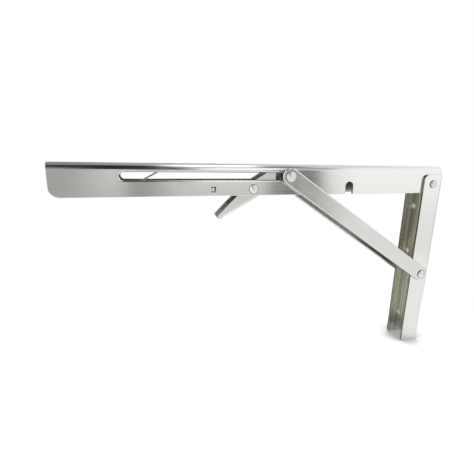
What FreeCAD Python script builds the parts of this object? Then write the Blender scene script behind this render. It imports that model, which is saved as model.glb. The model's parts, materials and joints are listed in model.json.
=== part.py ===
"""Folding shelf bracket for a drop leaf table, made of folded stainless sheet.

A channel arm carries the leaf. It is hinged between the flanges of a wall plate,
and two flat strut bars run from the plate to a pin that slides in the arm's slots.
A sprung lever under the arm catches the pin, and pressing its handle lets the arm fold down.

X points to the wall, which is the plane X = 0, Y runs across the bracket and Z is up.
The origin is the centre of the wall plate's back face. Sizes are in millimetres.
"""
import FreeCAD
import Part
import math
import os

from FreeCAD import Vector

# Shelf arm
arm_reach = 400.0
arm_width = 21.5
arm_height = 29.2
arm_sheet = 2.0
arm_bend_inside = 3.5
arm_end_corner = 9.0
arm_wall_gap = 0.6
leaf_hole_d = 5.0
leaf_hole_first = 50.0
leaf_hole_last = 35.0
leaf_hole_count = 4

# Wall plate
plate_height = 204.0
plate_depth = 24.2
plate_sheet = 2.0
plate_bend_inside = 0.8
plate_below_arm = 9.0
plate_top_corner = 6.0
plate_foot_corner = 4.5
wall_hole_d = 6.5
wall_hole_head = 40.1
wall_hole_pair = 57.1
wall_hole_foot = 20.2

# Strut bars and linkage
bar_width = 16.6
bar_sheet = 2.5
bar_edge = 0.6
pivot_drop = 19.3
strut_drop = 105.2
slot_drop = 11.1
slot_height = 6.9
slot_overrun = 15.3
pin_share = 0.4655
notch_width = 9.0

# Release lever
lever_sheet = 1.5
lever_bend_inside = 0.8
lever_past_pin = 36.2
lever_drop = 23.1
lever_back = 9.7
lever_back_tilt = 29.2
handle_run = 34.8
handle_fall = 25.9
handle_nose_r = 1.0
lever_bend_r = 8.0
neck_run = 15.8
neck_fall = 6.8
ramp_foot_run = 2.8
ramp_foot_rise = 8.7
ramp_run = 14.1
catch_play = 9.65
catch_foot_rise = 7.6
back_end_run = 5.5

# Rivets, pins and springs
rivet_r = 2.5
arm_rivet_head_r = 4.3
strut_rivet_head_r = 4.8
lever_rivet_head_r = 4.6
pin_head_r = 5.2
pin_core_r = 3.0
head_height = 1.9
head_rim = 0.45
bush_r = 5.6
spring_wire = 1.0
spring_turns = 3
spring_steps = 14
wire_flat_count = 8
wire_bend_steps = 4
spring_coil_gap = 0.5
spring_leg_tilt = 22.0
spring_knee_r = 1.2
tab_from_pivot = 39.2
tab_width = 5.0
tab_height = 3.2
tab_slit = 1.1
tab_drop = 2.4
tab_bend = 18.0
hold_wire = 1.0
hold_side_gap = 0.25
hold_tilt = 28.1
hold_root = 16.0
hold_past_pin = 0.9
hold_bend_r = 2.0

# Clearances
layer_gap = 0.3
fold_gap = 0.5
shaft_gap = 0.05
face_gap = 0.1

# Working values: how far cutting shapes run past a face, and when two points are one
past = 1.0
touching = 1e-6

# Heights and distances that follow from the sizes above
arm_top = plate_height / 2 + plate_below_arm
pivot_z = arm_top - pivot_drop
pivot_x = -(plate_sheet + fold_gap + arm_height - pivot_drop)
strut_z = pivot_z - strut_drop
slot_z = arm_top - slot_drop
pin_x = -pin_share * arm_reach
lever_x = pin_x - lever_past_pin
lever_z = arm_top - lever_drop
leaf_hole_pitch = (arm_reach - leaf_hole_first - leaf_hole_last) / (leaf_hole_count - 1)
wall_hole_upper = plate_height / 2 - wall_hole_head
wall_hole_middle = wall_hole_upper - wall_hole_pair
wall_hole_lower = wall_hole_foot - plate_height / 2

# Layers across the bracket, each as a distance from the middle plane
arm_y = arm_width / 2
arm_in_y = arm_y - arm_sheet
lever_y = arm_in_y - layer_gap
plate_in_y = arm_y + layer_gap
plate_y = plate_in_y + plate_sheet
bar_in_y = plate_y + layer_gap
bar_y = bar_in_y + bar_sheet

# Linkage: the strut's length, and how far the pin slides while the arm folds down by 90 degrees
slot_above_pivot = pivot_drop - slot_drop
pin_run = pivot_x - pin_x
strut_length = math.hypot(pin_run, strut_drop + slot_above_pivot)
pin_run_folded = strut_drop + math.sqrt(strut_length ** 2 - slot_above_pivot ** 2)
pin_r = slot_height / 2 - layer_gap
pin_x_folded = pivot_x - pin_run_folded


def rounded_face(corners):
    """Face in the XZ plane from (x, z, radius) corners, where a radius of 0 leaves a sharp corner."""
    points = [Vector(x, 0, z) for x, z, _ in corners]
    joints = []
    for i, point in enumerate(points):
        radius = corners[i][2]
        if radius == 0:
            joints.append((None, point, point))
        else:
            joints.append(corner_arc(points[i - 1], point, points[(i + 1) % len(points)], radius))
    edges = []
    for i, (arc, _, last) in enumerate(joints):
        if arc is not None:
            edges.append(arc)
        following = joints[(i + 1) % len(joints)][1]
        if (following - last).Length > touching:
            edges.append(Part.LineSegment(last, following).toShape())
    return Part.Face(Part.Wire(edges))


def prism(corners, y_low, y_high):
    """Solid with the outline of the corners, from y_low to y_high."""
    solid = rounded_face(corners).extrude(Vector(0, y_high - y_low, 0))
    solid.translate(Vector(0, y_low, 0))
    return solid


def bar_outline(x_a, z_a, x_b, z_b, width):
    """Corners of a bar or slot with round ends about two centres."""
    along = Vector(x_b - x_a, 0, z_b - z_a).normalize() * (width / 2)
    side = Vector(-along.z, 0, along.x)
    centre_a = Vector(x_a, 0, z_a)
    centre_b = Vector(x_b, 0, z_b)
    corners = (centre_a - along - side, centre_b + along - side, centre_b + along + side, centre_a - along + side)
    return [(c.x, c.z, width / 2) for c in corners]


def cross_hole(x, z, radius, y_low, y_high):
    """Cylinder along Y, for a hole, a bush or a shank."""
    return Part.makeCylinder(radius, y_high - y_low, Vector(x, y_low, z), Vector(0, 1, 0))


def channel(width, depth, sheet, bend_inside, length):
    """Folded channel along X with its web's outer face at Z = 0 and its flanges hanging down."""
    half = width / 2
    outer = bend_inside + sheet
    outside = [(-half, -depth, 0), (half, -depth, 0), (half, 0, outer), (-half, 0, outer)]
    inside = [(sheet - half, -depth, 0), (half - sheet, -depth, 0),
              (half - sheet, -sheet, bend_inside), (sheet - half, -sheet, bend_inside)]
    solid = prism(outside, 0, length).cut(prism(inside, 0, length))
    solid.rotate(Vector(0, 0, 0), Vector(0, 0, 1), -90)
    return solid


def domed_head(x, z, seat_y, head_r):
    """Head on the far side of seat_y: a thin straight rim with a ball-shaped crown."""
    crown = head_height - head_rim
    ball_r = (head_r ** 2 + crown ** 2) / (2 * crown)
    ball = Part.makeSphere(ball_r, Vector(x, seat_y + head_height - ball_r, z))
    return ball.common(cross_hole(x, z, head_r, seat_y, seat_y + 2 * head_height))


def rivet(x, z, radius, grip, head_r):
    """Rivet across the bracket with a domed head at each end of its grip, a half length."""
    head = domed_head(x, z, grip, head_r)
    shank = cross_hole(x, z, radius, -grip, grip)
    return shank.fuse([head, far_side(head)]).removeSplitter()


def corner_arc(before, corner, after, radius):
    """Arc that rounds a corner between two points, with the places where it starts and ends."""
    back = (before - corner).normalize()
    ahead = (after - corner).normalize()
    half = back.getAngle(ahead) / 2
    reach = radius / math.tan(half)
    middle = corner + (back + ahead).normalize() * (radius / math.sin(half) - radius)
    first = corner + back * reach
    last = corner + ahead * reach
    return Part.Arc(first, middle, last).toShape(), first, last


def bend_points(before, corner, after, radius):
    """Points along the arc that rounds a corner of a wire."""
    return corner_arc(before, corner, after, radius)[0].discretize(wire_bend_steps + 1)


def wire_along(points, diameter):
    """Wire along straight runs with mitred corners, its round section drawn with flats."""
    rim = Part.makeCircle(diameter / 2, points[0], points[1] - points[0]).discretize(wire_flat_count + 1)
    section = Part.makePolygon(rim[:-1], True)
    mitred = 1
    return Part.makePolygon(points).makePipeShell([section], True, False, mitred)


def make_shelf_arm():
    """Upside down channel with a slot in each flange, a notch for the strut rivet and a lanced tab."""
    arm = channel(arm_width, arm_height, arm_sheet, arm_bend_inside, arm_reach)
    arm.translate(Vector(-arm_reach, 0, arm_top))
    foot_z = arm_top - arm_height
    heel_r = arm_height - pivot_drop
    relief_z = arm_top - plate_below_arm + fold_gap
    relief_x = pivot_x + heel_r
    above = arm_top + past
    outline = [(-arm_reach, above, 0), (-arm_reach, foot_z, arm_end_corner), (relief_x, foot_z, heel_r),
               (relief_x, relief_z, 0), (-arm_wall_gap, relief_z, 0), (-arm_wall_gap, above, 0)]
    arm = arm.common(prism(outline, -arm_width, arm_width))
    across = (-arm_width, arm_width)
    slot_x_far = pin_x_folded - slot_overrun
    arm = arm.cut(prism(bar_outline(slot_x_far, slot_z, pin_x, slot_z, slot_height), *across))
    for x, z in ((pivot_x, pivot_z), (lever_x, lever_z)):
        arm = arm.cut(cross_hole(x, z, rivet_r + shaft_gap, *across))
    arm = arm.cut(prism(notch_outline(foot_z), *across))
    for i in range(leaf_hole_count):
        under = Vector(-(leaf_hole_first + i * leaf_hole_pitch), 0, arm_top - arm_sheet - past)
        arm = arm.cut(Part.makeCylinder(leaf_hole_d / 2, arm_sheet + 2 * past, under))
    return lance_tab(arm).removeSplitter()


def notch_outline(foot_z):
    """Arched notch in the arm's lower edge, which takes the strut rivet when the arm is folded."""
    x = pivot_x - strut_drop
    half = notch_width / 2
    top = pivot_z + rivet_r + fold_gap
    return [(x - half, foot_z - past, 0), (x + half, foot_z - past, 0), (x + half, top, half), (x - half, top, half)]


def spring_seat():
    """Where the lever spring's leg pokes through the near flange, as (x, z)."""
    return lever_x - tab_from_pivot, lever_z - tab_drop


def lance_tab(arm):
    """Cut a window in the near flange and leave a tab that is pressed inwards about its far edge."""
    seat_x, seat_z = spring_seat()
    left = seat_x - tab_width / 2
    low = seat_z - spring_wire / 2 - face_gap
    window = Part.makeBox(tab_width, arm_sheet + 2 * past, tab_height + tab_slit + spring_wire + 2 * face_gap,
                          Vector(left, -arm_y - past, low))
    tab = Part.makeBox(tab_width - tab_slit, arm_sheet, tab_height, Vector(0, 0, 0))
    root = Part.makeBox(arm_sheet, arm_sheet, tab_height, Vector(-arm_sheet, 0, 0))
    tab.rotate(Vector(0, 0, 0), Vector(0, 0, 1), tab_bend)
    tab = tab.fuse(root)
    tab.translate(Vector(left, -arm_y, seat_z + spring_wire / 2 + face_gap))
    return arm.cut(window).fuse(tab)


def make_wall_plate():
    """Channel with its web on the wall and its flanges either side of the arm."""
    plate = channel(plate_y * 2, plate_depth, plate_sheet, plate_bend_inside, plate_height)
    plate.rotate(Vector(0, 0, 0), Vector(0, 1, 0), 90)
    plate.translate(Vector(0, 0, plate_height / 2))
    top = plate_height / 2
    outline = [(-plate_depth, -top, plate_foot_corner), (past, -top, 0), (past, top, 0),
               (-plate_depth, top, plate_top_corner)]
    plate = plate.common(prism(outline, -2 * plate_y, 2 * plate_y))
    for z in (pivot_z, strut_z):
        plate = plate.cut(cross_hole(pivot_x, z, rivet_r + shaft_gap, -2 * plate_y, 2 * plate_y))
    for z in (wall_hole_upper, wall_hole_middle, wall_hole_lower):
        front = Vector(-plate_sheet - past, 0, z)
        plate = plate.cut(Part.makeCylinder(wall_hole_d / 2, plate_sheet + 2 * past, front, Vector(1, 0, 0)))
    return plate.removeSplitter()


def make_strut_bar():
    """Flat bar with round ends, on the near side, with a hole at each end and its rims broken."""
    outline = bar_outline(pin_x, slot_z, pivot_x, strut_z, bar_width)
    bar = prism(outline, -bar_y, -bar_in_y)
    rims = [e for e in bar.Edges if e.BoundBox.YLength < touching]
    bar = bar.makeChamfer(bar_edge, rims)
    bar = bar.cut(cross_hole(pin_x, slot_z, pin_core_r + shaft_gap, -bar_y - past, -bar_in_y + past))
    return bar.cut(cross_hole(pivot_x, strut_z, rivet_r + shaft_gap, -bar_y - past, -bar_in_y + past))


def make_pin_head():
    """Outer head of the slide pin on the near side, with the shank that the bar turns on."""
    shank = cross_hole(pin_x, slot_z, pin_core_r, bar_in_y, bar_y)
    return far_side(shank.fuse(domed_head(pin_x, slot_z, bar_y, pin_head_r)).removeSplitter())


def make_slide_stud():
    """End of the slide pin on the near side, inside the arm's slot."""
    return cross_hole(pin_x, slot_z, pin_r, -bar_in_y + layer_gap, -arm_in_y - face_gap)


def make_slide_bush():
    """Spacer ring on the slide pin between the near flange and the near bar."""
    ring = cross_hole(pin_x, slot_z, bush_r, -bar_in_y + layer_gap, -plate_in_y)
    return ring.cut(cross_hole(pin_x, slot_z, pin_r, -2 * bar_y, 0))


def make_release_lever():
    """Tapered channel whose handle hangs below the arm and whose ramp stands in the slots."""
    tilt = math.radians(lever_back_tilt)
    outward = Vector(math.sin(tilt), 0, -math.cos(tilt))
    along = Vector(math.cos(tilt), 0, math.sin(tilt))
    pivot = Vector(lever_x, 0, lever_z)
    back = pivot + outward * lever_back
    blank_half = 2 * handle_run
    blank = channel(2 * lever_y, blank_half, lever_sheet, lever_bend_inside, 2 * blank_half)
    blank.rotate(Vector(0, 0, 0), Vector(0, 1, 0), 180 - lever_back_tilt)
    blank.translate(back + along * blank_half)
    catch_x = pin_x - pin_r - catch_play
    ramp_top = arm_top - arm_sheet - arm_bend_inside
    tip = pivot + Vector(-handle_run, 0, -handle_fall)
    nose = tip + outward * (back - tip).dot(outward)
    heel = back + along * back_end_run
    corners = [(tip.x, tip.z, handle_nose_r),
               (nose.x, nose.z, handle_nose_r),
               (heel.x, heel.z, lever_bend_r / 2),
               (catch_x, lever_z + catch_foot_rise, handle_nose_r),
               (catch_x, ramp_top, handle_nose_r),
               (lever_x + ramp_foot_run + ramp_run, ramp_top, handle_nose_r),
               (lever_x + ramp_foot_run, lever_z + ramp_foot_rise, lever_bend_r / 2),
               (lever_x - neck_run, lever_z - neck_fall, lever_bend_r)]
    lever = blank.common(prism(corners, -arm_width, arm_width))
    return lever.cut(cross_hole(lever_x, lever_z, rivet_r + shaft_gap, -arm_width, arm_width))


def make_lever_spring():
    """Torsion spring about the lever's rivet, from the lanced tab to the inside of the lever's back."""
    coil_r = rivet_r + spring_coil_gap + spring_wire / 2
    seat_x, seat_z = spring_seat()
    run_x = lever_x - seat_x
    run_z = lever_z - seat_z
    rise = math.degrees(math.atan2(run_z, run_x) + math.asin(coil_r / math.hypot(run_x, run_z)))
    turn = spring_turns * 360 + 180 - lever_back_tilt - spring_leg_tilt + rise
    pitch = spring_wire + face_gap
    width = pitch * turn / 360
    slope = pitch / (2 * math.pi * coil_r)
    steps = math.ceil(spring_steps * turn / 360)
    coil = []
    for i in range(steps + 1):
        share = i / steps
        coil.append(on_coil(share * turn - rise, coil_r, width * (share - 0.5), slope)[0])
    start, leg = on_coil(-rise, coil_r, -width / 2, slope)
    knee = start - leg * math.sqrt(run_x ** 2 + run_z ** 2 - coil_r ** 2)
    through = Vector(knee.x, face_gap - arm_y, knee.z)
    knee_bend = bend_points(through, knee, start, spring_knee_r)
    end, press = on_coil(turn - rise, coil_r, width / 2, slope)
    tilt = math.radians(spring_leg_tilt)
    press_room = lever_back - lever_sheet - spring_wire / 2 - face_gap - coil_r * math.cos(tilt)
    foot = end + press * (press_room / math.sin(tilt))
    return wire_along([through] + knee_bend + coil + [foot], spring_wire)


def on_coil(angle, radius, y, slope):
    """Point on the spring's coil and the way it runs on, at degrees clockwise from straight up."""
    turn = math.radians(angle)
    point = Vector(lever_x + radius * math.sin(turn), y, lever_z + radius * math.cos(turn))
    return point, Vector(math.cos(turn), slope, -math.sin(turn)).normalize()


def make_hold_spring():
    """Wire bail under the arm's web that snaps behind the pin to keep the arm folded."""
    top = arm_top - arm_sheet - hold_wire / 2 - shaft_gap
    tilt = math.radians(hold_tilt)
    half = arm_in_y - arm_bend_inside - hold_side_gap
    low = slot_z - pin_r - hold_wire / 2 - hold_past_pin
    reach_x = pin_x_folded + (pin_r + hold_wire / 2) / math.sin(tilt)
    knee_x = reach_x + (top - slot_z) / math.tan(tilt)
    low_x = reach_x - (slot_z - low) / math.tan(tilt)
    corners = [Vector(knee_x + hold_root, -half, top), Vector(knee_x, -half, top), Vector(low_x, -half, low),
               Vector(low_x, half, low), Vector(knee_x, half, top), Vector(knee_x + hold_root, half, top)]
    points = corners[:1]
    for before, corner, after in zip(corners, corners[1:], corners[2:]):
        points += bend_points(before, corner, after, hold_bend_r)
    return wire_along(points + corners[-1:], hold_wire)


def far_side(solid):
    """The same piece on the far side of the middle plane."""
    return solid.mirror(Vector(0, 0, 0), Vector(0, 1, 0))


def main():
    nodes = {
        "wall_plate": make_wall_plate(),
        "shelf_arm": make_shelf_arm(),
        "release_lever": make_release_lever(),
        "lever_spring": make_lever_spring(),
        "hold_spring": make_hold_spring(),
        "arm_pivot_rivet": rivet(pivot_x, pivot_z, rivet_r, plate_y, arm_rivet_head_r),
        "strut_pivot_rivet": rivet(pivot_x, strut_z, rivet_r, bar_y + face_gap, strut_rivet_head_r),
        "lever_pivot_rivet": rivet(lever_x, lever_z, rivet_r, arm_y, lever_rivet_head_r),
    }
    sides = {
        "strut_bar": make_strut_bar(),
        "pin_head": make_pin_head(),
        "slide_stud": make_slide_stud(),
        "slide_bush": make_slide_bush(),
    }
    for name, solid in sides.items():
        nodes["near_" + name] = solid
        nodes["far_" + name] = far_side(solid)
    os.makedirs("parts", exist_ok=True)
    for name, solid in nodes.items():
        if not solid.isValid() or len(solid.Solids) != 1:
            print("check", name, solid.isValid(), len(solid.Solids))
        solid.exportStep("parts/" + name + ".step")
        print(name, round(solid.Volume, 1))
    print("strut length", round(strut_length, 2), "pin travel", round(pin_run_folded - pin_run, 2))


main()
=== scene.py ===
"""Studio view of a folding bracket for a drop leaf table, in brushed stainless sheet.

Each solid of the bracket gets a refined copy with broken edges, and the wires are made round.
X points to the wall, Y runs across the bracket and Z is up, in metres.
"""
import json
import math

import bmesh
import bpy
from mathutils import Matrix, Vector
from mathutils.bvhtree import BVHTree

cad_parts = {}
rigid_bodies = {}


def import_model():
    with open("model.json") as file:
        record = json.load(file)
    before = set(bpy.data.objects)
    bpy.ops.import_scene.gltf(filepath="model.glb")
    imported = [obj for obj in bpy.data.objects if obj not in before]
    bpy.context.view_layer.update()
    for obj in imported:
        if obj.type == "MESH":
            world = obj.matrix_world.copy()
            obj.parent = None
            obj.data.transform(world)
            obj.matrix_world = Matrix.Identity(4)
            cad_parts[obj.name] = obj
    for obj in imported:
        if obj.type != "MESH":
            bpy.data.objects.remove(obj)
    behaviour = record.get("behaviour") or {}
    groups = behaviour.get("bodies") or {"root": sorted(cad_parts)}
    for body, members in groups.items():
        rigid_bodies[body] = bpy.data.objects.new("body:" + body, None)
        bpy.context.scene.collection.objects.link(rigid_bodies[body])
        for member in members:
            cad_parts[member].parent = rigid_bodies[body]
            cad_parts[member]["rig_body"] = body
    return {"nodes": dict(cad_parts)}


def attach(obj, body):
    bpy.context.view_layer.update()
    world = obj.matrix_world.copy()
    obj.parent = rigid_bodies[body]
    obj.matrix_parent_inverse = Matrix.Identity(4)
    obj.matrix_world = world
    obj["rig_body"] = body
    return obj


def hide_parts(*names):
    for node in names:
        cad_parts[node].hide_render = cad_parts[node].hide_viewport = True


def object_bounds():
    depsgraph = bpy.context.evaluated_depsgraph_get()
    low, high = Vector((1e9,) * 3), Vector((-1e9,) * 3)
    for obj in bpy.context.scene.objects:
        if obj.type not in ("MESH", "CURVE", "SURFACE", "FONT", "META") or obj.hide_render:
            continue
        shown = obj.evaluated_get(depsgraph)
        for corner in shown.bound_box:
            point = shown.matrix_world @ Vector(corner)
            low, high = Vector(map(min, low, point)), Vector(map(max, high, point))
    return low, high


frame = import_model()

cad_low, cad_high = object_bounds()
nodes = frame["nodes"]

# Camera at the photograph's angle, with its right, up and backward axes
camera_place = Vector((-0.32445, -0.31526, 0.1192))
camera_right = Vector((0.963162, -0.268308, 0.018141))
camera_up = Vector((0.047179, 0.235002, 0.970849))
camera_back = Vector((-0.26475, -0.93423, 0.239003))
picture_size = 474
focal_pixels = 332.67
sensor_width = 36.0
nearest_seen = 0.01
farthest_seen = 50

# Colours of the finishes, with painted shade in the darker inside and cut-edge colours
sheet_colour = (0.76, 0.757, 0.73)
bar_colour = (0.69, 0.688, 0.662)
lever_colour = (0.78, 0.777, 0.75)
# Painted shade: the faces inside the channels of the arm and the plate get darker colours
inside_shade_colour = (0.5, 0.49, 0.45)
plate_inside_shade_colour = (0.68, 0.66, 0.585)
# Painted shade: the cut edges are very dark
cut_shade_colour = (0.17, 0.167, 0.153)
rivet_colour = (0.80, 0.797, 0.775)
bush_colour = (0.62, 0.617, 0.59)
wire_colour = (0.5, 0.497, 0.475)

# Brushed grain, as streaks per metre across it and along it, and the edges, polished by handling and
# lightened as a painted highlight
fine_streaks = (3800.0, 30.0)
broad_streaks = (500.0, 6.0)
satin_clouds = 28.0
grain_depth = 0.0000035
arm_grain_depth = 0.0000013
# Painted highlight: share by which the colour is lightened along the edges
painted_edge_highlight = 1.3
edge_smoother = 0.06
bar_tilt = math.radians(33.1)
lever_tilt = math.radians(29.2)

# Marks of the punch on cut edges, clouds and specks on pressed heads, and painted shade that darkens the
# heads' steep sides
punch_marks = 1800.0
punch_depth = 0.00001
head_clouds = 450.0
head_specks = 2500.0
speck_depth = 0.000004
head_rim_shade = 0.12

# Thickness of the sheet in each part
arm_sheet = 0.002
plate_sheet = 0.002
lever_sheet = 0.0015
bar_sheet = 0.0025

# Broken and rolled edges, and the heights between which the arm's slots lie
edge_round = 0.0007
lever_edge = 0.0005
bar_edge = 0.0006
head_edge = 0.00015
edge_roll = 0.0007
bar_roll = 0.0015
slot_round = 0.0015
slot_low = 0.096
slot_high = 0.104

# Cleaning of the meshes
sharp_angle = math.radians(30)
flat_angle = math.radians(0.3)
weld_reach = 0.000002
skin = 0.000005

# Table top, and the level of the room at its left and right ends
table_radius = 0.5
table_middle = (-0.2, -0.33)
table_paper = 0.9
table_share = 0.5
mirrored_share = 0.6
table_white = 1.68
# Painted contact shadow: the table's glow falls to this level near the bracket, within this reach
shadow_white = 0.35
shadow_reach = 0.05
back_wall_left = 0.30
back_wall_right = 1.06
back_wall_turn = (-12.0, 48.0)


class Panel:
    """Part of the room: its range of turn and lift in degrees, how soft its sides are, its brightness."""

    def __init__(self, turn, lift, soft, bright):
        self.turn = turn
        self.lift = lift
        self.soft = soft
        self.bright = bright


room = (
    # Wall in front, low down, lighter in the middle and dimmer to the left
    Panel(turn=(-90, 90), lift=(-90, 2), soft=(2, 3), bright=0.61),
    Panel(turn=(-9, 6), lift=(-5, 2), soft=(3, 2), bright=0.79),
    Panel(turn=(-90, -9), lift=(-90, 3), soft=(4, 3), bright=0.44),
    # Dark of the room above it, and a dim post straight in front
    Panel(turn=(-19, -5), lift=(26, 76), soft=(3, 8), bright=0.03),
    Panel(turn=(-10, 5), lift=(3, 76), soft=(3, 7), bright=0.03),
    Panel(turn=(2, 9), lift=(2, 38), soft=(2, 6), bright=0.13),
    Panel(turn=(-2.4, 2.6), lift=(-90, -1), soft=(2, 2), bright=0.34),
    # Bright wall to the right, dimmer low down and at its far end
    Panel(turn=(5, 22), lift=(-90, -3), soft=(2, 3), bright=0.7),
    Panel(turn=(9, 34), lift=(-2, 42), soft=(3, 6), bright=1.24),
    Panel(turn=(31, 90), lift=(-90, 60), soft=(2, 14), bright=1.16),
    Panel(turn=(36, 90), lift=(-90, -9), soft=(6, 6), bright=0.96),
    Panel(turn=(62, 90), lift=(-90, 184), soft=(9, 10), bright=0.6),
    # Dim doorway in that wall, in two parts
    Panel(turn=(21.4, 29.4), lift=(-90, 8), soft=(2, 6), bright=0.17),
    Panel(turn=(23.5, 32.0), lift=(14, 62), soft=(2, 7), bright=0.47),
    # Window on the far left, and the floor behind the bracket
    Panel(turn=(-90, -22), lift=(-20, 110), soft=(4, 15), bright=1.7),
    Panel(turn=(-90, 90), lift=(-185, -90), soft=(6, 3), bright=0.45),
    # Bright wall beyond the bracket's wall plate
    Panel(turn=(49, 90), lift=(60, 184), soft=(4, 10), bright=1.4),
    # Lamp panel overhead and the dark gap beside it
    Panel(turn=(4, 20), lift=(60, 104), soft=(3, 12), bright=1.7),
    Panel(turn=(19, 27), lift=(50, 88), soft=(2, 8), bright=0.22),
)


class Nodes:
    """Small helper that adds shader nodes to a tree and links their inputs."""

    def __init__(self, tree):
        self.tree = tree

    def add(self, kind, settings=None, **inputs):
        """Add a node; an input is named as on the node, or i0, i1 and so on by its number."""
        node = self.tree.nodes.new(kind)
        for name, value in (settings or {}).items():
            setattr(node, name, value)
        for name, value in inputs.items():
            numbered = name[0] == "i" and name[1:].isdigit()
            socket = node.inputs[int(name[1:])] if numbered else node.inputs[name]
            if isinstance(value, bpy.types.NodeSocket):
                self.tree.links.new(value, socket)
            else:
                socket.default_value = value
        return node

    def math(self, operation, *values):
        """Result of a math operation on one or two values."""
        names = {"i" + str(i): value for i, value in enumerate(values)}
        return self.add("ShaderNodeMath", {"operation": operation}, **names).outputs[0]

    def ease(self, value, low, high, start=0.0, end=1.0):
        """Smooth step from start to end as the value goes from low to high."""
        return self.add("ShaderNodeMapRange", {"interpolation_type": "SMOOTHSTEP"},
                        i0=value, i1=low, i2=high, i3=start, i4=end).outputs[0]

    def window(self, value, span, soft):
        """Smooth window that is 1 where the value is within the span."""
        rise = self.ease(value, span[0] - soft, span[0] + soft)
        fall = self.ease(value, span[1] - soft, span[1] + soft, 1.0, 0.0)
        return self.math("MULTIPLY", rise, fall)

    def blend(self, factor, first, second):
        """Number between first and second, by the factor."""
        mix = self.add("ShaderNodeMix", {"data_type": "FLOAT"}, i0=factor, i2=first, i3=second)
        return mix.outputs[0]

    def tint(self, factor, first, second):
        """Colour between first and second, by the factor."""
        mix = self.add("ShaderNodeMix", {"data_type": "RGBA"}, i0=factor, i6=first, i7=second)
        return mix.outputs[2]

    def noise(self, place, scale, detail, roughness):
        """Noise at a place in the part, from 0 to 1."""
        return self.add("ShaderNodeTexNoise", Vector=place, Scale=scale, Detail=detail,
                        Roughness=roughness).outputs[0]

    def metal(self, colour, roughness, normal):
        """Metal surface as the tree's result."""
        shader = self.add("ShaderNodeBsdfPrincipled", **{"Base Color": colour}, Metallic=1.0,
                          Roughness=roughness, Normal=normal)
        self.add("ShaderNodeOutputMaterial", Surface=shader.outputs[0])


def new_material(name):
    """Empty material and the helper for its node tree."""
    made = bpy.data.materials.new(name)
    made.use_nodes = True
    made.node_tree.nodes.clear()
    return made, Nodes(made.node_tree)


def shade(colour, share):
    """Colour made lighter or darker by a share, as a node takes it."""
    return [min(1.0, c * share) for c in colour] + [1.0]


def edge_wear(tree, rolled):
    """Mask that is 1 along the edges, where handling has polished the metal and a painted highlight
    lightens it.
    """
    straight = tree.add("ShaderNodeNewGeometry").outputs["Normal"]
    dot = tree.add("ShaderNodeVectorMath", {"operation": "DOT_PRODUCT"}, i0=rolled, i1=straight)
    return tree.ease(dot.outputs["Value"], 0.8, 0.99, 1.0, 0.0)


def brushed(name, colour, roughness, grain, tilt=0.0, depth=grain_depth, stripes=0.02, roll=edge_roll):
    """Brushed metal with grain along X, Y or Z, turned about Y by tilt, edges rolled by the shears, and a
    painted highlight along the edges.
    """
    made, tree = new_material(name)
    place = tree.add("ShaderNodeTexCoord").outputs["Object"]
    turned = tree.add("ShaderNodeMapping", Vector=place, Rotation=(0.0, tilt, 0.0)).outputs[0]

    def streaks(across, along, detail):
        scale = [along if axis == grain else across for axis in "XYZ"]
        stretched = tree.add("ShaderNodeMapping", Vector=turned, Scale=scale).outputs[0]
        return tree.noise(stretched, 1.0, detail, 0.6)

    fine = streaks(*fine_streaks, 3.0)
    broad = streaks(*broad_streaks, 2.0)
    cloud = tree.noise(place, satin_clouds, 3.0, 0.55)
    rolled = tree.add("ShaderNodeBevel", {"samples": 6}, Radius=roll).outputs[0]
    rim = edge_wear(tree, rolled)
    cloudy = tree.ease(cloud, 0.35, 0.7, -0.025, 0.03)
    varied = tree.math("ADD", cloudy, tree.ease(fine, 0.3, 0.7, -0.03, 0.03))
    smoother = tree.math("MULTIPLY", rim, edge_smoother)
    rough = tree.math("SUBTRACT", tree.math("ADD", varied, roughness), smoother)
    tone = tree.tint(tree.ease(broad, 0.3, 0.7), shade(colour, 1 - stripes), shade(colour, 1 + stripes))
    # Edges lightened towards the painted highlight
    bright = tree.tint(rim, tone, shade(colour, painted_edge_highlight))
    bump = tree.add("ShaderNodeBump", Height=fine, Distance=depth, Strength=1.0, Normal=rolled).outputs[0]
    tree.metal(bright, rough, bump)
    return made


def sheared(name, colour, roughness):
    """Matt cut edge of the sheet, with the fine marks of the punch across it; its very dark colour is
    painted shade.
    """
    made, tree = new_material(name)
    place = tree.add("ShaderNodeTexCoord").outputs["Object"]
    marks = tree.noise(place, punch_marks, 3.0, 0.6)
    tone = tree.tint(tree.ease(marks, 0.3, 0.7), shade(colour, 0.85), shade(colour, 1.1))
    rough = tree.ease(marks, 0.3, 0.7, roughness - 0.06, roughness + 0.08)
    bump = tree.add("ShaderNodeBump", Height=marks, Distance=punch_depth, Strength=1.0).outputs[0]
    tree.metal(tone, rough, bump)
    return made


def polished(name, colour, roughness, rim=1.0):
    """Smooth pressed or drawn metal with faint clouds of tone; rim is the share of tone on steep sides,
    where a low share paints shade as a dark outline round a head.
    """
    made, tree = new_material(name)
    place = tree.add("ShaderNodeTexCoord").outputs["Object"]
    cloud = tree.noise(place, head_clouds, 3.0, 0.5)
    speck = tree.noise(place, head_specks, 2.0, 0.6)
    tone = tree.tint(tree.ease(cloud, 0.3, 0.7), shade(colour, 0.9), shade(colour, 1.08))
    normal = tree.add("ShaderNodeNewGeometry").outputs["Normal"]
    across = tree.math("ABSOLUTE", tree.add("ShaderNodeSeparateXYZ", i0=normal).outputs[1])
    # Steep sides darkened by the rim share: painted shade as a dark outline
    varied = tree.tint(tree.ease(across, 0.79, 0.9), shade(colour, rim), tone)
    rough = tree.ease(cloud, 0.3, 0.7, roughness - 0.03, roughness + 0.05)
    bump = tree.add("ShaderNodeBump", Height=speck, Distance=speck_depth, Strength=1.0).outputs[0]
    tree.metal(varied, rough, bump)
    return made


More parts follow.
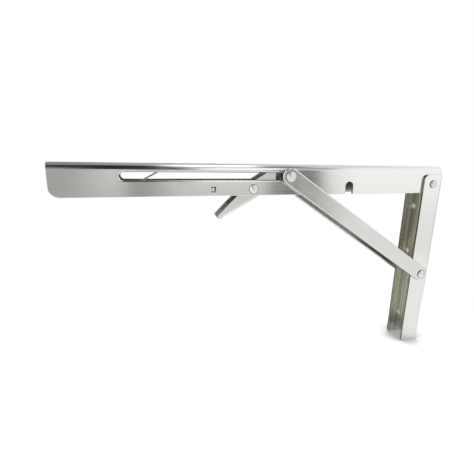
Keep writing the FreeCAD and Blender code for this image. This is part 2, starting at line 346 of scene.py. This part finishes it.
def mark_faces(shape, sheet):
    """Sort the faces of a sheet part: 0 outside, 1 cut edges, 2 sides that look at the middle plane.

    A cut edge has more metal behind it than the sheet is thick.
    """
    shape.normal_update()
    solid = BVHTree.FromBMesh(shape)
    for face in shape.faces:
        middle = face.calc_center_median()
        behind = solid.ray_cast(middle - face.normal * skin, -face.normal)[3]
        if behind is None or behind > sheet * 1.5:
            face.material_index = 1
        elif abs(face.normal.y) > 0.9 and face.normal.y * middle.y < 0:
            face.material_index = 2


def round_slots(shape):
    """Round the outer edges of the arm's slots, which the punch left with a wide roll."""
    outer = max(v.co.y for v in shape.verts)
    rims = []
    for edge in shape.edges:
        if len(edge.link_faces) != 2 or edge.calc_face_angle() < sharp_angle:
            continue
        if all(abs(abs(v.co.y) - outer) < weld_reach and slot_low < v.co.z < slot_high for v in edge.verts):
            rims.append(edge)
    bmesh.ops.bevel(shape, geom=rims, offset=slot_round, offset_type="OFFSET", affect="EDGES", segments=5,
                    profile=0.5, clamp_overlap=True, material=-1)


def dress(mesh, *materials):
    """Give the mesh its materials, before its faces are written, as clearing the list resets the faces."""
    mesh.materials.clear()
    for material in materials:
        mesh.materials.append(material)


def refined(name, materials, edges=edge_round, sheet=0, smooth_steps=0):
    """Copy of a node, welded, with broken edges or made round, that takes the node's place."""
    node = nodes[name]
    mesh = node.data.copy()
    mesh.transform(node.matrix_world)
    mesh.name = "fine_" + name
    shape = bmesh.new()
    shape.from_mesh(mesh)
    bmesh.ops.remove_doubles(shape, verts=shape.verts, dist=weld_reach)
    if sheet:
        mark_faces(shape, sheet)
    bmesh.ops.dissolve_limit(shape, angle_limit=flat_angle, verts=shape.verts, edges=shape.edges,
                             delimit={"MATERIAL"})
    if name == "shelf_arm":
        round_slots(shape)
    if edges:
        sharp = [e for e in shape.edges if len(e.link_faces) == 2 and e.calc_face_angle() > sharp_angle]
        bmesh.ops.bevel(shape, geom=sharp, offset=edges, offset_type="OFFSET", affect="EDGES", segments=3,
                        profile=0.5, clamp_overlap=True, material=-1)
    for face in shape.faces:
        face.smooth = True
    dress(mesh, *materials)
    shape.to_mesh(mesh)
    shape.free()
    piece = bpy.data.objects.new("fine_" + name, mesh)
    bpy.context.scene.collection.objects.link(piece)
    if smooth_steps:
        finer = piece.modifiers.new("round", "SUBSURF")
        finer.levels = smooth_steps
        finer.render_levels = smooth_steps
    else:
        flatter = piece.modifiers.new("flat faces", "WEIGHTED_NORMAL")
        flatter.weight = 50
        flatter.keep_sharp = False
    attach(piece, node["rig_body"])
    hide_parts(name)
    return piece


def camera():
    """Camera at the photograph's place and angle."""
    data = bpy.data.cameras.new("studio_camera")
    data.sensor_width = sensor_width
    data.lens = focal_pixels / picture_size * sensor_width
    data.clip_start = nearest_seen
    data.clip_end = farthest_seen
    stand = bpy.data.objects.new("studio_camera", data)
    turn = Matrix((camera_right, camera_up, camera_back)).transposed()
    stand.matrix_world = Matrix.Translation(camera_place) @ turn.to_4x4()
    bpy.context.scene.collection.objects.link(stand)
    bpy.context.scene.camera = stand


def table():
    """Round white table top that keeps the bracket's soft shadow, with a painted contact shadow in its glow
    near the bracket.
    """
    mesh = bpy.data.meshes.new("white_table")
    shape = bmesh.new()
    bmesh.ops.create_circle(shape, cap_ends=True, segments=96, radius=table_radius)
    shape.transform(Matrix.Translation((*table_middle, cad_low.z)))
    shape.to_mesh(mesh)
    shape.free()
    top = bpy.data.objects.new("white_table", mesh)
    bpy.context.scene.collection.objects.link(top)
    made, tree = new_material("white_table")
    ray = tree.add("ShaderNodeLightPath")
    paper = tree.add("ShaderNodeBsdfDiffuse", Color=(table_paper, table_paper, table_paper, 1))
    # Painted contact shadow: the glow dims where ambient occlusion finds the bracket close by
    contact_shade = tree.add("ShaderNodeAmbientOcclusion", {"samples": 8}, Distance=shadow_reach).outputs["AO"]
    glow_with_painted_shadow = tree.ease(contact_shade, 0.5, 1.0, shadow_white, table_white)
    white = tree.add("ShaderNodeEmission", Color=(1, 1, 1, 1), Strength=glow_with_painted_shadow)
    mirrored = tree.math("MULTIPLY", ray.outputs["Is Glossy Ray"], mirrored_share)
    seen = tree.math("MAXIMUM", ray.outputs["Is Camera Ray"], mirrored)
    share = tree.math("MULTIPLY", seen, table_share)
    mixed = tree.add("ShaderNodeMixShader", i0=share, i1=paper.outputs[0], i2=white.outputs[0])
    tree.add("ShaderNodeOutputMaterial", Surface=mixed.outputs[0])
    dress(mesh, made)


def studio():
    """Room light by direction, as soft panels and dark corners of a studio.

    A direction is given by two angles in degrees: lift, which is 0 at the horizon in front of the
    bracket, 90 overhead and 180 at the horizon behind it, and turn, which grows towards the wall.
    """
    world = bpy.data.worlds.new("studio")
    world.use_nodes = True
    world.node_tree.nodes.clear()
    bpy.context.scene.world = world
    tree = Nodes(world.node_tree)
    look = tree.add("ShaderNodeTexCoord").outputs["Generated"]
    parts = tree.add("ShaderNodeSeparateXYZ", i0=look).outputs
    turn = tree.math("DEGREES", tree.math("ARCSINE", parts[0]))
    front = tree.math("MULTIPLY", parts[1], -1.0)
    lift = tree.math("DEGREES", tree.math("ARCTAN2", parts[2], front))
    level = tree.add("ShaderNodeMapRange", i0=turn, i1=back_wall_turn[0], i2=back_wall_turn[1],
                     i3=back_wall_left, i4=back_wall_right).outputs[0]
    for panel in room:
        mask = tree.window(turn, panel.turn, panel.soft[0])
        mask = tree.math("MULTIPLY", mask, tree.window(lift, panel.lift, panel.soft[1]))
        level = tree.blend(mask, level, panel.bright)
    seen = tree.add("ShaderNodeLightPath").outputs["Is Camera Ray"]
    walls = tree.add("ShaderNodeBackground", Color=(1, 1, 1, 1), Strength=level)
    white = tree.add("ShaderNodeBackground", Color=(1, 1, 1, 1), Strength=1.0)
    mixed = tree.add("ShaderNodeMixShader", i0=seen, i1=walls.outputs[0], i2=white.outputs[0])
    tree.add("ShaderNodeOutputWorld", Surface=mixed.outputs[0])


bpy.context.scene.view_settings.view_transform = "Standard"
camera()
table()
studio()

# Finishes of the sheet, outside and inside, and of its cut edges; the insides and cut edges are darkened as
# painted shade
along_arm = brushed("brushed_sheet_arm", sheet_colour, 0.12, "X", depth=arm_grain_depth, stripes=0.01)
along_plate = brushed("brushed_sheet_plate", sheet_colour, 0.13, "Z")
along_bar = brushed("brushed_sheet_bar", bar_colour, 0.2, "X", -bar_tilt, roll=bar_roll)
along_lever = brushed("brushed_sheet_lever", lever_colour, 0.28, "X", lever_tilt)
shaded_inside_arm = brushed("painted_shade_inside_of_arm", inside_shade_colour, 0.22, "X")
shaded_inside_plate = brushed("painted_shade_inside_of_plate", plate_inside_shade_colour, 0.2, "Z", stripes=0.3)
shaded_cut_edge = sheared("sheared_edge_painted_shade", cut_shade_colour, 0.3)

# Finishes of the rivets, the pin, the bushes and the wires
head_metal = polished("polished_rivet", rivet_colour, 0.4, rim=head_rim_shade)
pin_metal = polished("polished_pin", rivet_colour, 0.3)
bush_metal = polished("turned_bush", bush_colour, 0.3)
wire_metal = polished("spring_wire", wire_colour, 0.16)

# Sheet parts
arm_finish = (along_arm, shaded_cut_edge, shaded_inside_arm)
plate_finish = (along_plate, shaded_cut_edge, shaded_inside_plate)
lever_finish = (along_lever, shaded_cut_edge, along_lever)
bar_finish = (along_bar, shaded_cut_edge, along_bar)
refined("shelf_arm", arm_finish, sheet=arm_sheet)
refined("wall_plate", plate_finish, sheet=plate_sheet)
refined("release_lever", lever_finish, edges=lever_edge, sheet=lever_sheet)

# Strut bars, and the pin's ends on each side
for side in ("near_", "far_"):
    refined(side + "strut_bar", bar_finish, edges=bar_edge, sheet=bar_sheet)
    refined(side + "pin_head", (head_metal,), edges=head_edge)
    refined(side + "slide_stud", (pin_metal,), edges=head_edge)
    refined(side + "slide_bush", (bush_metal,), edges=head_edge)

# Rivets and springs
for name in ("arm_pivot_rivet", "strut_pivot_rivet", "lever_pivot_rivet"):
    refined(name, (head_metal,), edges=head_edge)
for name in ("lever_spring", "hold_spring"):
    refined(name, (wire_metal,), edges=0, smooth_steps=2)
